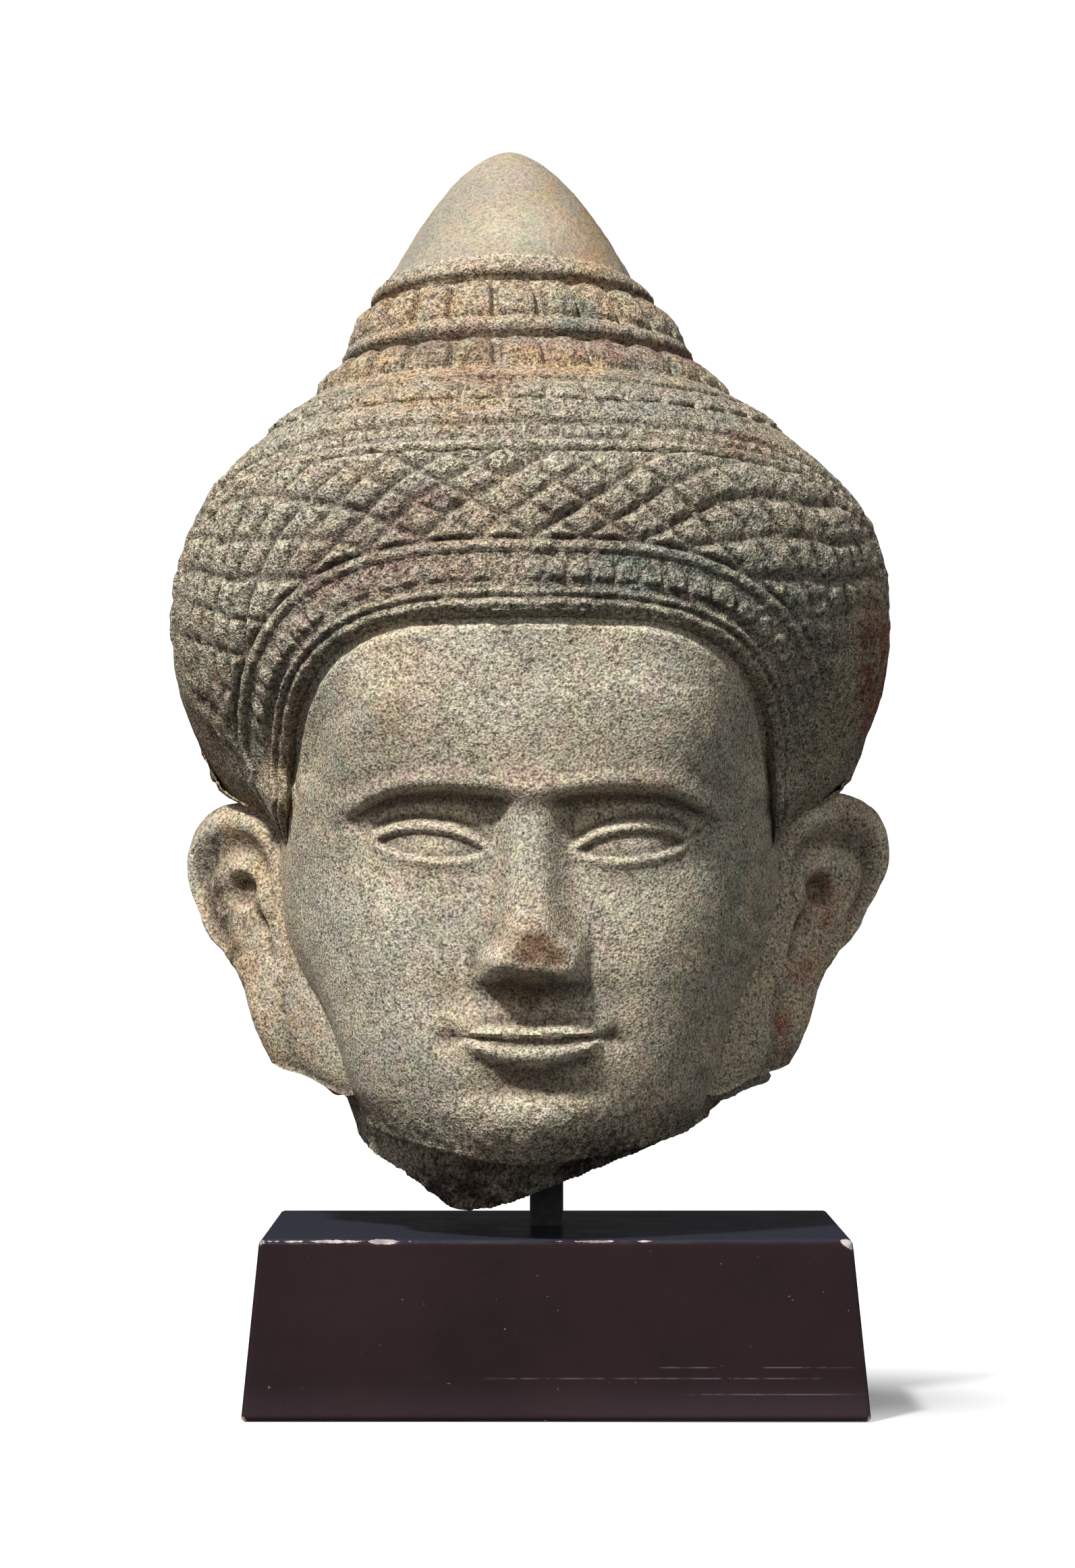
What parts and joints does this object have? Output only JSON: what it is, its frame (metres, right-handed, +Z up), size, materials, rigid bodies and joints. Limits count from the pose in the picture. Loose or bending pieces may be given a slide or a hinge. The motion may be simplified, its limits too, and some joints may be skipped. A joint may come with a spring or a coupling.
{
  "type": "carved stone head sculpture on a mount",
  "caption": "Weathered sandstone head with a diadem, tiered conical headdress and long ears, broken at the neck, held on a steel rod above a black-brown lacquered wooden plinth.",
  "frame": {"origin": "centre of the plinth's underside", "axes": "+Z up, the face looks along -Y, +X towards the sculpture's left ear"},
  "size_m": [0.2594, 0.2385, 0.45],
  "materials": {
    "sandstone": "rough, granular, weathered grey-buff sandstone with ochre, pinkish and greenish patches",
    "painted_steel": "satin black paint on steel bar",
    "lacquered_wood": "glossy aubergine-black lacquer on wood, chipped along the edges"
  },
  "bodies": {
    "root": {"head": "sandstone", "rod": "painted_steel", "plinth": "lacquered_wood"}
  },
  "joints": []
}
